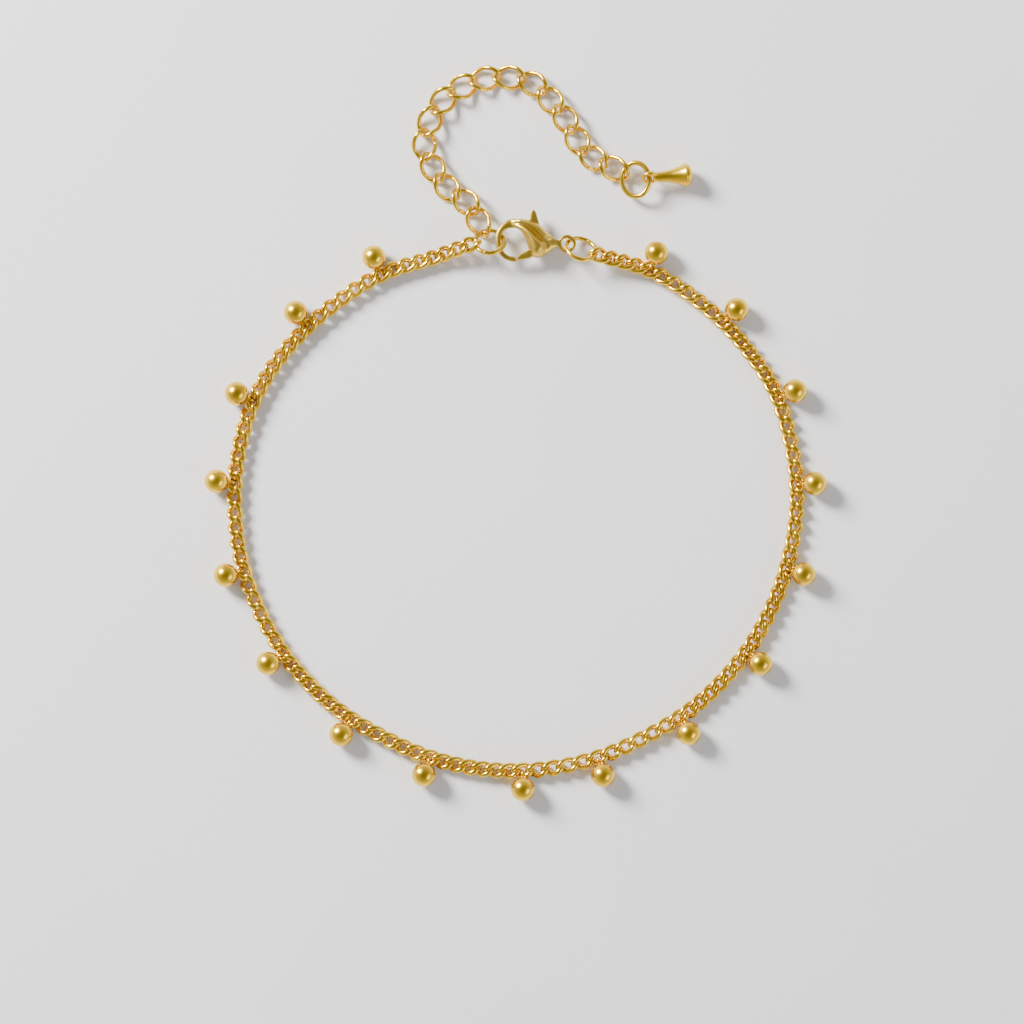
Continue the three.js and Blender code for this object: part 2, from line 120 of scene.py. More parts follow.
def heading(degrees):
    a = math.radians(degrees)
    return np.array([math.cos(a), math.sin(a), 0.0])


def turn(axis, degrees):
    c, s = math.cos(math.radians(degrees)), math.sin(math.radians(degrees))
    if axis == "x":
        return np.array([[1, 0, 0], [0, c, -s], [0, s, c]])
    if axis == "y":
        return np.array([[c, 0, s], [0, 1, 0], [-s, 0, c]])
    return np.array([[c, -s, 0], [s, c, 0], [0, 0, 1]])


class Path:
    """A centripetal Catmull-Rom curve through points, read by its distance along."""

    def __init__(self, points, steps=24):
        points = [np.array(p, float) for p in points]
        lowest = min(p[2] for p in points)
        ends = [2 * points[0] - points[1], *points, 2 * points[-1] - points[-2]]
        out = []
        for i in range(len(points) - 1):
            a, b, c, d = ends[i:i + 4]
            pairs = ((a, b), (b, c), (c, d))
            ta, tb, tc = (max(np.linalg.norm(q - p), 1e-6) ** 0.5 for p, q in pairs)
            m0 = ((b - a) / ta - (c - a) / (ta + tb) + (c - b) / tb) * tb
            m1 = ((c - b) / tb - (d - b) / (tb + tc) + (d - c) / tc) * tb
            for k in range(steps + (i == len(points) - 2)):
                t = k / steps
                p = b + m0 * t + (3 * (c - b) - 2 * m0 - m1) * t * t
                p += (2 * (b - c) + m0 + m1) * t ** 3
                p[2] = max(p[2], lowest)
                out.append(p)
        self.points = np.array(out)
        self.along = np.r_[0, np.cumsum(np.linalg.norm(np.diff(self.points, axis=0), axis=1))]
        self.length = self.along[-1]

    def place(self, distance):
        return np.array([np.interp(distance, self.along, self.points[:, k]) for k in range(3)])

    def at(self, distance):
        """The point and tangent at a distance, running on straight past the ends."""
        d = min(max(distance, 0), self.length)
        point = self.place(d)
        chord = self.place(min(d + TANGENT_REACH, self.length)) - self.place(max(d - TANGENT_REACH, 0))
        tangent = chord / np.linalg.norm(chord)
        return point + tangent * (distance - d), tangent


def oval(half_length, half_width, twist, steps):
    """A link's middle line: an oval whose two ends turn opposite ways about its long axis."""
    a = np.arange(steps) * 2 * math.pi / steps
    roll = math.radians(twist) * np.cos(a)
    across = half_width * np.sin(a)
    return np.column_stack([half_length * np.cos(a), across * np.cos(roll), across * np.sin(roll)])


def tube(points, radius, sides, radii=None):
    """A closed tube round a closed line. radii scales the radius at each point."""
    n = len(points)
    ahead = np.roll(points, -1, axis=0) - np.roll(points, 1, axis=0)
    tangent = ahead / np.linalg.norm(ahead, axis=1)[:, None]
    centre = points.mean(axis=0)
    out = points - centre
    out -= (out * tangent).sum(axis=1)[:, None] * tangent
    out /= np.linalg.norm(out, axis=1)[:, None]
    side = np.cross(tangent, out)
    a = np.arange(sides) * 2 * math.pi / sides
    scale = radius * (np.ones(n) if radii is None else np.asarray(radii))
    ring = out[:, None, :] * np.cos(a)[None, :, None] + side[:, None, :] * np.sin(a)[None, :, None]
    verts = points[:, None, :] + ring * scale[:, None, None]
    faces = []
    for i in range(n):
        j = (i + 1) % n
        for k in range(sides):
            l = (k + 1) % sides
            faces.append((i * sides + k, j * sides + k, j * sides + l, i * sides + l))
    return verts.reshape(-1, 3), faces


def wire_loop(half_length, half_width, twist, wire, steps, sides, seam=None):
    """A bent wire with its cut ends meeting in a fine groove at the seam's angle."""
    points = oval(half_length, half_width, twist, steps)
    radii = np.ones(steps)
    if seam is not None:
        k = int(round(seam / 360 * steps)) % steps
        radii[k] = 0.82
        mid = points[k].copy()
        for j in (-1, 1):
            points[(k + j) % steps] = mid + (points[(k + j) % steps] - mid) * 0.22
            points[(k + 2 * j) % steps] = mid + (points[(k + 2 * j) % steps] - mid) * 0.3
    return tube(points, wire / 2, sides, radii)


def lathe(profile, steps):
    """A closed solid turned about x from (x, radius) pairs that start and end on the axis."""
    verts = [(profile[0][0], 0, 0)]
    a = np.arange(steps) * 2 * math.pi / steps
    for x, r in profile[1:-1]:
        verts += [(x, r * math.cos(t), r * math.sin(t)) for t in a]
    verts.append((profile[-1][0], 0, 0))
    rows = len(profile) - 2
    faces = [(0, 1 + (k + 1) % steps, 1 + k) for k in range(steps)]
    for i in range(rows - 1):
        s, e = 1 + i * steps, 1 + (i + 1) * steps
        faces += [(s + k, s + (k + 1) % steps, e + (k + 1) % steps, e + k) for k in range(steps)]
    last = 1 + (rows - 1) * steps
    faces += [(last + k, last + (k + 1) % steps, len(verts) - 1) for k in range(steps)]
    return np.array(verts, float), faces


def smooth_profile(pairs, steps):
    """Rounds a profile's corners a little by sampling a curve through its pairs."""
    path = Path([(x, r, 0) for x, r in pairs], steps)
    return [(x, max(r, 0)) for x, r, _ in path.points]


def gather(parts):
    """Joins several (verts, faces) into one."""
    verts, faces, base = [], [], 0
    for v, f in parts:
        verts.append(v)
        faces += [tuple(i + base for i in face) for face in f]
        base += len(v)
    return np.vstack(verts), faces


def moved(part, matrix, offset):
    verts, faces = part
    return verts @ matrix.T + offset, faces


# Materials

def socket(shader, name, value):
    shader.inputs[name].default_value = value


def gold(name, bright, deep, roughness, grain, bump):
    """Plated metal: two close golds in soft patches, uneven gloss and faint scratches."""
    m = bpy.data.materials.new(name)
    m.use_nodes = True
    n, l = m.node_tree.nodes, m.node_tree.links
    shader = n["Principled BSDF"]
    socket(shader, "Metallic", 1.0)
    place = n.new("ShaderNodeTexCoord")
    patches = n.new("ShaderNodeTexNoise")
    patches.inputs["Scale"].default_value = grain
    patches.inputs["Detail"].default_value = 4
    tint = n.new("ShaderNodeValToRGB")
    tint.color_ramp.elements[0].position = 0.35
    tint.color_ramp.elements[0].color = (*deep, 1)
    tint.color_ramp.elements[1].position = 0.65
    tint.color_ramp.elements[1].color = (*bright, 1)
    gloss = n.new("ShaderNodeMapRange")
    gloss.inputs["To Min"].default_value = roughness * 0.8
    gloss.inputs["To Max"].default_value = roughness * 1.25
    stretch = n.new("ShaderNodeMapping")
    stretch.inputs["Scale"].default_value = (1, 0.16, 1)
    scratches = n.new("ShaderNodeTexNoise")
    scratches.inputs["Scale"].default_value = grain * 9
    scratches.inputs["Detail"].default_value = 3
    relief = n.new("ShaderNodeBump")
    relief.inputs["Strength"].default_value = bump
    relief.inputs["Distance"].default_value = 0.00003
    l.new(place.outputs["Object"], patches.inputs["Vector"])
    l.new(patches.outputs["Fac"], tint.inputs["Fac"])
    l.new(tint.outputs["Color"], shader.inputs["Base Color"])
    l.new(place.outputs["Object"], stretch.inputs["Vector"])
    l.new(stretch.outputs["Vector"], scratches.inputs["Vector"])
    l.new(scratches.outputs["Fac"], gloss.inputs["Value"])
    l.new(gloss.outputs["Result"], shader.inputs["Roughness"])
    l.new(scratches.outputs["Fac"], relief.inputs["Height"])
    l.new(relief.outputs["Normal"], shader.inputs["Normal"])
    return m


CHAIN_GOLD = gold("chain_gold_plate", (0.93, 0.6, 0.05), (0.72, 0.43, 0.025), 0.2, 420, 0.12)
BALL_GOLD = gold("ball_gold_plate", (0.92, 0.59, 0.035), (0.8, 0.49, 0.025), 0.24, 260, 0.08)
RING_GOLD = gold("ring_gold_plate", (0.92, 0.6, 0.06), (0.74, 0.45, 0.03), 0.2, 420, 0.1)
CLASP_GOLD = gold("clasp_gold_plate", (0.72, 0.5, 0.085), (0.6, 0.4, 0.05), 0.32, 340, 0.05)


def piece(name, part, material, body, nodes):
    """A mesh object in metres that rides on a body and stands for its nodes."""
    verts, faces = part
    mesh = bpy.data.meshes.new(name)
    mesh.from_pydata((verts * MM).tolist(), [], faces)
    mesh.update()
    mesh.shade_smooth()
    mesh.materials.append(material)
    obj = bpy.data.objects.new(name, mesh)
    bpy.context.scene.collection.objects.link(obj)
    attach(obj, body)
    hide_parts(*nodes)
    return obj


# Main chain

clasp_place = np.array([0.0, CLASP_PLACE * LOOP_RADIUS, CLASP_HEIGHT])
end_ring_radius = (END_RING_DIAMETER - RING_WIRE) / 2
ring_place = clasp_place + [
    (HOOK_ARM_PLACE[0] + HOOK_ARM_WIDTH / 2) * CLASP_LENGTH + LINK_GAP + RING_WIRE / 2
    - end_ring_radius,
    HOOK_ARM_PLACE[1] * CLASP_LENGTH,
    0,
]
LOOP_MIDDLE = END_RING - ring_place
LOOP_MIDDLE[2] = 0
clasp_place = clasp_place + LOOP_MIDDLE


def chain_path():
    start = END_RING + heading(CHAIN_HEADING) * (END_RING_DIAMETER / 2 + CUT_GAP)
    end = CLASP_RING + heading(CLASP_RING_HEADING) * (CLASP_RING_DIAMETER / 2 + CUT_GAP)
    step = (ROUTE_END - ROUTE_START) / (len(ROUTE_SHARES) - 1)
    level = LOOP_MIDDLE + [0, 0, CHAIN_HEIGHT / 2]
    between = [
        level + heading(ROUTE_START + i * step) * share * LOOP_RADIUS
        for i, share in enumerate(ROUTE_SHARES)
    ]
    return Path([start, *between, end])


chain = chain_path()


def chain_links():
    """Fine twisted links, a whole number of them between one ball and the next."""
    knots = [0.0, *(s * chain.length for s in BALL_STATIONS), chain.length]
    places = []
    for a, b in zip(knots, knots[1:]):
        count = max(1, round((b - a) / LINK_PITCH))
        places += [a + (b - a) * k / count for k in range(count)]
    places.append(chain.length)
    line = oval(LINK_HALF_LENGTH, LINK_HALF_WIDTH, LINK_TWIST, 28)
    line[:, 0] += LINK_SHEAR * line[:, 2]
    line[:, 2] += LINK_LIFT
    link = tube(line @ turn("x", LINK_ROLL).T, LINK_WIRE / 2, 10)
    parts = []
    for d in places:
        point, tangent = chain.at(d)
        yaw = math.degrees(math.atan2(tangent[1], tangent[0]))
        dip = -math.degrees(math.asin(tangent[2]))
        parts.append(moved(link, turn("z", yaw) @ turn("y", dip), point))
    return gather(parts)


piece("curb_links", chain_links(), CHAIN_GOLD, "anklet", ["curb_chain"])


# Ball drops

eye_radius = (BALL_EYE_DIAMETER - BALL_EYE_WIRE) / 2
ball_to_eye = BALL_RADIUS + BALL_EYE_DIAMETER / 2 - BALL_SOLDER
eye_drop = BALL_RADIUS - BALL_EYE_DIAMETER / 2
eye_inset = math.sqrt(ball_to_eye ** 2 - eye_drop ** 2)
rise_to_ball = BALL_RADIUS - CHAIN_HEIGHT / 2
ball_offset = CHAIN_WIDTH / 2 + math.sqrt((BALL_RADIUS + BALL_GAP) ** 2 - rise_to_ball ** 2)


def ball_drop():
    """A hollow ball with a wire eye, about the ball's middle, its eye towards -x and down."""
    lean = math.degrees(math.atan2(eye_drop, eye_inset))
    angles = np.linspace(0, math.pi, 33)
    rows = [(-BALL_RADIUS * math.cos(t), BALL_RADIUS * math.sin(t)) for t in angles]
    collar = BALL_EYE_WIRE * 0.75
    first = next(i for i, (x, r) in enumerate(rows) if r > collar)
    top = rows[first][0]
    rows = [(top - 0.12, 0), (top - 0.12, collar * 0.7), (top - 0.05, collar * 0.95), *rows[first:]]
    ball = lathe(rows, 40)
    line = oval(eye_radius, eye_radius, 0, 28) @ turn("x", 90).T - [ball_to_eye, 0, 0]
    eye = tube(line, BALL_EYE_WIRE / 2, 10)
    verts, faces = gather([ball, eye])
    return verts @ turn("y", -lean).T, faces


drop = ball_drop()
for i, station in enumerate(BALL_STATIONS):
    point, tangent = chain.at(station * chain.length)
    outward = np.cross(tangent, [0, 0, 1])
    outward /= np.linalg.norm(outward)
    place = point + outward * ball_offset
    place[2] = BALL_RADIUS
    yaw = math.degrees(math.atan2(outward[1], outward[0]))
    number = f"{i + 1:02d}"
    ball = moved(drop, turn("z", yaw), place)
    piece("ball_" + number, ball, BALL_GOLD, "anklet", ["ball_drop_" + number])


# Jump rings

def jump_ring(name, node, length, width, wire, tilt, axis_heading, seam):
    ring = wire_loop((length - wire) / 2, (width - wire) / 2, 0, wire, 64, 14, seam)
    ring = moved(ring, turn("z", axis_heading) @ turn("x", -tilt), middle(node))
    piece(name, ring, RING_GOLD, "anklet", [node])


jump_ring(
    "end_ring", "chain_end_ring",
    END_RING_DIAMETER, END_RING_DIAMETER, RING_WIRE, END_RING_TILT, 0, 250)
jump_ring(
    "tail_ring", "clasp_ring",
    CLASP_RING_DIAMETER, CLASP_RING_DIAMETER, RING_WIRE, CLASP_RING_TILT, CLASP_RING_HEADING, 80)
jump_ring(
    "last_ring", "extender_end_ring",
    LAST_RING_LENGTH, LAST_RING_WIDTH, LAST_RING_WIRE, LAST_RING_TILT, CONE_HEADING + 90, 35)


# Extender

def extender_path():
    length = EXTENDER_LINKS * EXTENDER_PITCH
    level = FIRST_LINK - [0, 0, HOOKED_RISE]
    points = [level + np.array([x, y, 0]) * length for x, y in EXTENDER_ROUTE]
    for raised in (0, 1, -1):
        points[raised][2] += HOOKED_RISE
    return Path(points)


trail = extender_path()
for i in range(EXTENDER_LINKS):
    point, tangent = trail.at(i * EXTENDER_PITCH)
    yaw = math.degrees(math.atan2(tangent[1], tangent[0])) + (FIRST_TURN if i == 0 else 0)
    lean = {0: -HOOKED_LEAN, EXTENDER_LINKS - 1: HOOKED_LEAN}.get(i, 0)
    seam = 90 if i % 2 else 270
    link = wire_loop(
        EXTENDER_HALF_LENGTH, EXTENDER_HALF_WIDTH, EXTENDER_TWIST, EXTENDER_WIRE, 48, 12, seam)
    link = moved(link, turn("z", yaw) @ turn("x", lean), point)
    number = f"{i + 1:02d}"
    name = "large_link_" + number
    piece(name, link, RING_GOLD, "anklet", ["extender_link_" + number])


# Cone drop

# Root of the cone's stem inside its eye, in millimetres and shares of its radius, then its stem,
# flare and rim in shares of its length and radius
CONE_ROOT = [(-0.5, 0), (-0.5, 0.2), (-0.45, 0.3), (-0.2, 0.37)]
CONE_STEM = [(0.04, 0.43), (0.14, 0.45)]
CONE_FLARE = [(0.14, 0.45), (0.3, 0.5), (0.45, 0.6), (0.65, 0.8), (0.77, 0.96)]
CONE_RIM = [
    (0.785, 0.985), (0.8, 1.0), (0.815, 0.985), (0.822, 0.945), (0.83, 0.93), (0.838, 0.945),
]


def cone_drop():
    """The cone with its eye, about x, its stem's shoulder at the origin."""
    stem, flare, rim = (
        [(x * CONE_LENGTH, r * CONE_RADIUS) for x, r in shares]
        for shares in (CONE_STEM, CONE_FLARE, CONE_RIM)
    )
    root = [(x, r * CONE_RADIUS) for x, r in CONE_ROOT]
    flare = smooth_profile(flare, 6)
    start, radius = rim[-1]
    end = [
        (start + (CONE_LENGTH - start) * math.sin(t), radius * math.cos(t))
        for t in np.linspace(0.05, math.pi / 2, 14)
    ]
    body = lathe([*root, *stem, *flare[1:], *rim, *end[:-1], (CONE_LENGTH, 0)], 48)
    mean = (CONE_EYE_DIAMETER - CONE_EYE_WIRE) / 2
    line = oval(mean, mean, 0, 40) @ turn("x", CONE_EYE_TURN).T - [mean, 0, 0]
    return gather([body, tube(line, CONE_EYE_WIRE / 2, 12)])


half_width = (LAST_RING_WIDTH - LAST_RING_WIRE) / 2
rise = half_width * math.sin(math.radians(LAST_RING_TILT))
eye_mean = (CONE_EYE_DIAMETER - CONE_EYE_WIRE) / 2
eye_slack = eye_mean - (CONE_EYE_WIRE + LAST_RING_WIRE) / 2 - 2 * LINK_GAP
eye_height = LAST_RING[2] + rise
reach = eye_mean + CONE_WIDEST * CONE_LENGTH
droop = math.degrees(math.asin((eye_height - CONE_RADIUS) / reach))
cone = moved(cone_drop(), np.eye(3), [eye_mean, 0, 0])
ring_reach = half_width * math.cos(math.radians(LAST_RING_TILT))
cone_place = LAST_RING + heading(CONE_HEADING) * (ring_reach + eye_slack)
cone_place[2] = eye_height
cone = moved(cone, turn("z", CONE_HEADING) @ turn("y", droop), cone_place)
piece("cone_end", cone, BALL_GOLD, "anklet", ["cone_drop"])


# Lobster clasp

def share_list(*pairs):
    return np.array(pairs) * CLASP_LENGTH


HOOK_OUTER = share_list(
    (0.003, -0.231), (-0.042, -0.233), (-0.134, -0.204), (-0.201, -0.139), (-0.238, -0.053),
    (-0.25, 0.043), (-0.233, 0.13), (-0.192, 0.201), (-0.109, 0.269), (-0.019, 0.293),
)
HOOK_INNER = share_list(
    (-0.019, 0.192), (-0.087, 0.186), (-0.146, 0.158), (-0.182, 0.1), (-0.193, 0.02),
    (-0.187, -0.058), (-0.152, -0.128), (-0.088, -0.176), (-0.012, -0.189),
)
BODY_OUTER = share_list(
    (-0.091, 0.277), (0.016, 0.297), (0.151, 0.285), (0.293, 0.226), (0.393, 0.134),
    (0.477, 0.059), (0.538, 0.029),
)
BODY_LOWER = share_list(
    (0.538, -0.048), (0.461, -0.092), (0.352, -0.167), (0.251, -0.194), (0.185, -0.168),
)
BODY_INNER = share_list(
    (0.156, -0.096), (0.135, -0.019), (0.115, 0.048), (0.082, 0.111), (0.034, 0.16),
    (-0.025, 0.186), (-0.091, 0.186),
)
BULGE = share_list(
    (-0.082, 0.204), (-0.019, 0.228), (0.096, 0.208), (0.192, 0.15), (0.285, 0.065),
    (0.342, -0.01), (0.348, -0.095), (0.29, -0.172), (0.208, -0.16), (0.155, -0.06),
    (0.13, 0.029), (0.094, 0.105), (0.038, 0.16), (-0.019, 0.186),
)
RIDGE = share_list(
    (-0.082, 0.245), (-0.072, 0.271), (0.016, 0.288), (0.144, 0.275), (0.287, 0.216),
    (0.385, 0.125), (0.457, 0.06), (0.404, 0.04), (0.332, 0.048), (0.269, 0.111),
    (0.188, 0.185), (0.101, 0.231), (-0.025, 0.25),
)
VALLEY = share_list(
    (-0.151, 0.21), (-0.025, 0.231), (0.101, 0.21), (0.185, 0.159), (0.268, 0.067),
    (0.327, 0.034), (0.519, 0.0),
)
HOLLOW = share_list((0.345, 0.02), (0.385, -0.05), (0.375, -0.12), (0.33, -0.185))
GATE = share_list(
    (0.007, -0.17), (0.018, -0.23), (0.183, -0.2), (0.3, -0.1), (0.34, 0.05),
    (0.25, 0.02), (0.143, -0.093),
)
THUMB = share_list(
    (0.26, -0.02), (0.38, 0.0), (0.3, 0.21), (0.257, 0.37), (0.243, 0.4),
    (0.216, 0.412), (0.189, 0.4), (0.175, 0.37), (0.165, 0.28), (0.215, 0.14),
)
LEVER_BOSS = 0.082 * CLASP_LENGTH
RIVET = np.array(RIVET_PLACE) * CLASP_LENGTH
TAIL_EYE = np.array(TAIL_EYE_PLACE) * CLASP_LENGTH
HALF_BODY, HALF_HOOK, HALF_LEVER = 1.2, 0.3, 0.45
LEVER_SWING, PIVOT_GAP = 25, 0.1
PIN_RADIUS, HALF_PIN, HALF_BORE = 0.35, 0.7, 1
TAIL_EYE_RADIUS, TAIL_EYE_HALF_WIRE = 0.95, 0.25

# Relief of the clasp's upper side: height and reach of each form
HOOK_GROWTH = 0.1
BASE_HEIGHT, BASE_EDGE = 0.95, 0.85
UNDER_EDGE, LEVER_EDGE = 0.7, 0.16
BULGE_RISE, BULGE_REACH = 0.62, 0.95
RIDGE_RISE, RIDGE_REACH = 0.34, 0.42
VALLEY_DEPTH, VALLEY_REACH = 0.5, 0.3
HOLLOW_DEPTH, HOLLOW_REACH = 0.3, 0.28
LOWEST_TOP = 0.72  # which keeps the lever's slot covered
SWELL_FROM, SWELL_TO, SWELL_START = -1.0, 0.6, 0.3  # the hook swells into the body
SLIM_FROM, SLIM_TO, SLIM_LOSS = 3.6, 5.6, 0.6  # the body slims down to the tail eye
THINNEST = 0.02
RELIEF_STEP, RELIEF_ROUNDS = 0.05, 18
CIRCLE_STEPS = 32


def stretch_curve(points, steps=6):
    path = Path([(x, y, 0) for x, y in points], steps)
    return path.points[:, :2]


def outline(*stretches):
    return np.vstack([stretch_curve(s) for s in stretches])


def distance_inside(grid, polygon):
    """Distance from each grid point to a closed outline, positive inside."""
    a, b = polygon, np.roll(polygon, -1, axis=0)
    keep = np.linalg.norm(b - a, axis=1) > 1e-9
    a, b = a[keep], b[keep]
    best = np.full(len(grid), 1e9)
    inside = np.zeros(len(grid), bool)
    for p, q in zip(a, b):
        d = q - p
        t = np.clip(((grid - p) @ d) / (d @ d), 0, 1)
        best = np.minimum(best, np.linalg.norm(grid - p - t[:, None] * d, axis=1))
        crosses = (p[1] > grid[:, 1]) != (q[1] > grid[:, 1])
        rise = d[1] if abs(d[1]) > 1e-12 else 1e-12
        x = p[0] + (grid[:, 1] - p[1]) / rise * d[0]
        inside ^= crosses & (grid[:, 0] < x)
    return np.where(inside, best, -best)


def distance_to_line(grid, line):
    best = np.full(len(grid), 1e9)
    for p, q in zip(line, line[1:]):
        d = q - p
        t = np.clip(((grid - p) @ d) / (d @ d), 0, 1)
        best = np.minimum(best, np.linalg.norm(grid - p - t[:, None] * d, axis=1))
    return best


def rounded(depth, height, radius):
    """Height over the middle plane of a plate whose edge is rounded, at a depth from its edge."""
    k = np.clip(1 - depth / radius, 0, 1)
    h = height - radius + radius * np.sqrt(np.clip(1 - k * k, 0, 1))
    if radius >= height:
        h = height * np.sqrt(np.clip(1 - k * k, 0, 1))
    return np.where(depth > 0, np.maximum(h, THINNEST), -1.0)


def dome(depth, height, reach):
    k = np.clip(1 - depth / reach, 0, 1)
    return np.where(depth > 0, height * np.sqrt(np.clip(1 - k * k, 0, 1)), 0.0)


def evened(height, inside, rounds):
    """A height field blurred a little, within the points that are inside."""
    for _ in range(rounds):
        for axis in (0, 1):
            total, weight = height * inside * 2.0, inside * 2.0
            for shift in (-1, 1):
                total = total + np.roll(height * inside, shift, axis)
                weight = weight + np.roll(inside, shift, axis)
            height = np.where(inside, total / np.maximum(weight, 1), height)
    return height


def relief_mesh(step, low, high, heights):
    """A closed mesh from the heights above and below a middle plane over a grid."""
    gx, gy = np.meshgrid(*(np.arange(a, b + step, step) for a, b in zip(low, high)), indexing="ij")
    grid = np.column_stack([gx.ravel(), gy.ravel()])
    depth, top, bottom = (h.reshape(gx.shape) for h in heights(grid))
    inside = depth > 0
    top, bottom = (evened(h, inside, RELIEF_ROUNDS) for h in (top, bottom))
    cells = inside[:-1, :-1] & inside[1:, :-1] & inside[:-1, 1:] & inside[1:, 1:]
    for _ in range(6):
        lone = cells[:-1, :-1] & cells[1:, 1:] & ~cells[1:, :-1] & ~cells[:-1, 1:]
        other = cells[1:, :-1] & cells[:-1, 1:] & ~cells[:-1, :-1] & ~cells[1:, 1:]
        if not (lone.any() or other.any()):
            break
        cells[:-1, :-1][lone] = False
        cells[1:, :-1][other] = False
    corner = np.zeros(gx.shape, int)
    for dx in (0, 1):
        for dy in (0, 1):
            corner[dx:cells.shape[0] + dx, dy:cells.shape[1] + dy] += cells
    used = corner > 0
    rim = used & (corner < 4)
    index_top = np.full(gx.shape, -1)
    index_top[used] = np.arange(used.sum())
    count = int(used.sum())
    index_bottom = index_top.copy()
    free = used & ~rim
    index_bottom[free] = count + np.arange(free.sum())
    slope = np.stack(np.gradient(depth, step), axis=-1)
    slope /= np.maximum(np.linalg.norm(slope, axis=-1), 1e-6)[..., None]
    reach = np.where(rim, np.clip(depth, 0, 1.5 * step), 0)
    gx, gy = gx - reach * slope[..., 0], gy - reach * slope[..., 1]
    z_top = np.where(rim, 0, np.maximum(top, THINNEST))
    z_bottom = np.maximum(bottom, THINNEST)
    above = np.column_stack([gx[used], gy[used], z_top[used]])
    below = np.column_stack([gx[free], gy[free], -z_bottom[free]])
    square = ((0, 0), (1, 0), (1, 1), (0, 1))
    faces = []
    for i, j in zip(*np.nonzero(cells)):
        faces.append(tuple(int(index_top[i + x, j + y]) for x, y in square))
        faces.append(tuple(int(index_bottom[i + y, j + x]) for x, y in square))
    return np.vstack([above, below]), faces


def ramp(x, low, high):
    t = np.clip((x - low) / (high - low), 0, 1)
    return t * t * (3 - 2 * t)


def body_heights(grid):
    """Depth from the outline, and heights above and below: a flat hook that swells into a teardrop
    beside a valley and a raised back, on a pillowed body."""
    hook = distance_inside(grid, outline(HOOK_OUTER, HOOK_INNER)) + HOOK_GROWTH
    body = distance_inside(grid, outline(BODY_OUTER, BODY_LOWER, BODY_INNER))
    bulge = distance_inside(grid, outline(np.vstack([BULGE, BULGE[:1]])))
    ridge = distance_inside(grid, outline(np.vstack([RIDGE, RIDGE[:1]])))
    valley = distance_to_line(grid, stretch_curve(VALLEY))
    hollow = distance_to_line(grid, stretch_curve(HOLLOW))
    from_eye = np.abs(np.linalg.norm(grid - TAIL_EYE, axis=1) - TAIL_EYE_RADIUS)
    eye = TAIL_EYE_HALF_WIRE - from_eye
    ring = np.sqrt(np.clip(TAIL_EYE_HALF_WIRE ** 2 - from_eye ** 2, 0, 1))
    arm = rounded(hook, HALF_HOOK, HALF_HOOK)
    swell = SWELL_START + (1 - SWELL_START) * ramp(grid[:, 0], SWELL_FROM, SWELL_TO)
    slim = 1 - SLIM_LOSS * ramp(grid[:, 0], SLIM_FROM, SLIM_TO)
    base = rounded(body, BASE_HEIGHT, BASE_EDGE)
    top = base + dome(bulge, BULGE_RISE, BULGE_REACH) + dome(ridge, RIDGE_RISE, RIDGE_REACH)
    top -= VALLEY_DEPTH * np.exp(-(valley / VALLEY_REACH) ** 2)
    top -= HOLLOW_DEPTH * np.exp(-(hollow / HOLLOW_REACH) ** 2)
    top = np.maximum(top, np.minimum(base, LOWEST_TOP))
    under = rounded(body, HALF_BODY, UNDER_EDGE)
    top, under = (np.where(body > 0, h * slim * swell, 0) for h in (top, under))
    depth = np.maximum.reduce([hook, body, eye])
    return depth, np.maximum.reduce([arm, top, ring]), np.maximum.reduce([arm, under, ring])


def lever_heights(grid):
    gate = distance_inside(grid, GATE)
    thumb = distance_inside(grid, THUMB)
    boss = LEVER_BOSS - np.linalg.norm(grid - RIVET, axis=1)
    h = np.maximum.reduce([rounded(d, HALF_LEVER, LEVER_EDGE) for d in (gate, thumb, boss)])
    return np.maximum.reduce([gate, thumb, boss]), h, h


def apply_modifiers(obj):
    graph = bpy.context.evaluated_depsgraph_get()
    mesh = bpy.data.meshes.new_from_object(obj.evaluated_get(graph))
    obj.modifiers.clear()
    obj.data = mesh


def combine(obj, cutter, operation):
    m = obj.modifiers.new("cut", "BOOLEAN")
    m.operation, m.solver, m.object = operation, "MANIFOLD", cutter
    apply_modifiers(obj)
    bpy.data.objects.remove(cutter)


def scratch(part):
    mesh = bpy.data.meshes.new("cutter")
    mesh.from_pydata((part[0] * MM).tolist(), [], part[1])
    obj = bpy.data.objects.new("cutter", mesh)
    bpy.context.scene.collection.objects.link(obj)
    return obj


def prism(polygon, half):
    """A plate of a convex outline that runs anticlockwise, about the middle plane."""
    n = len(polygon)
    verts = np.vstack([np.column_stack([polygon, np.full(n, z)]) for z in (-half, half)])
    faces = [tuple(range(n - 1, -1, -1)), tuple(range(n, 2 * n))]
    faces += [(k, (k + 1) % n, n + (k + 1) % n, n + k) for k in range(n)]
    return verts, faces


def hull(points):
    """The convex outline of points in a plane, anticlockwise."""
    def turns_left(a, b, c):
        return (b[0] - a[0]) * (c[1] - a[1]) - (b[1] - a[1]) * (c[0] - a[0]) > 0

    def half(seq):
        out = []
        for p in seq:
            while len(out) > 1 and not turns_left(out[-2], out[-1], p):
                out.pop()
            out.append(p)
        return out[:-1]

    points = sorted(map(tuple, points))
    return np.array(half(points) + half(points[::-1]))


def round_outline(radius):
    a = np.arange(CIRCLE_STEPS) * 2 * math.pi / CIRCLE_STEPS
    return RIVET + radius * np.column_stack([np.cos(a), np.sin(a)])


def grown(polygon):
    """A convex outline round another, the pivot's gap away from it."""
    reach = PIVOT_GAP / math.cos(math.pi / 8)
    return hull(np.vstack([polygon + reach * heading(45 * i)[:2] for i in range(8)]))


def turned(polygon, degrees):
    return (polygon - RIVET) @ turn("z", degrees)[:2, :2].T + RIVET


def clasp_piece(name, heights, low, high, body, node):
    part = relief_mesh(RELIEF_STEP, low, high, heights)
    obj = piece(name, part, CLASP_GOLD, body, [node])
    evening = obj.modifiers.new("soften", "SMOOTH")
    evening.iterations, evening.factor = 1, 0.35
    apply_modifiers(obj)
    return obj


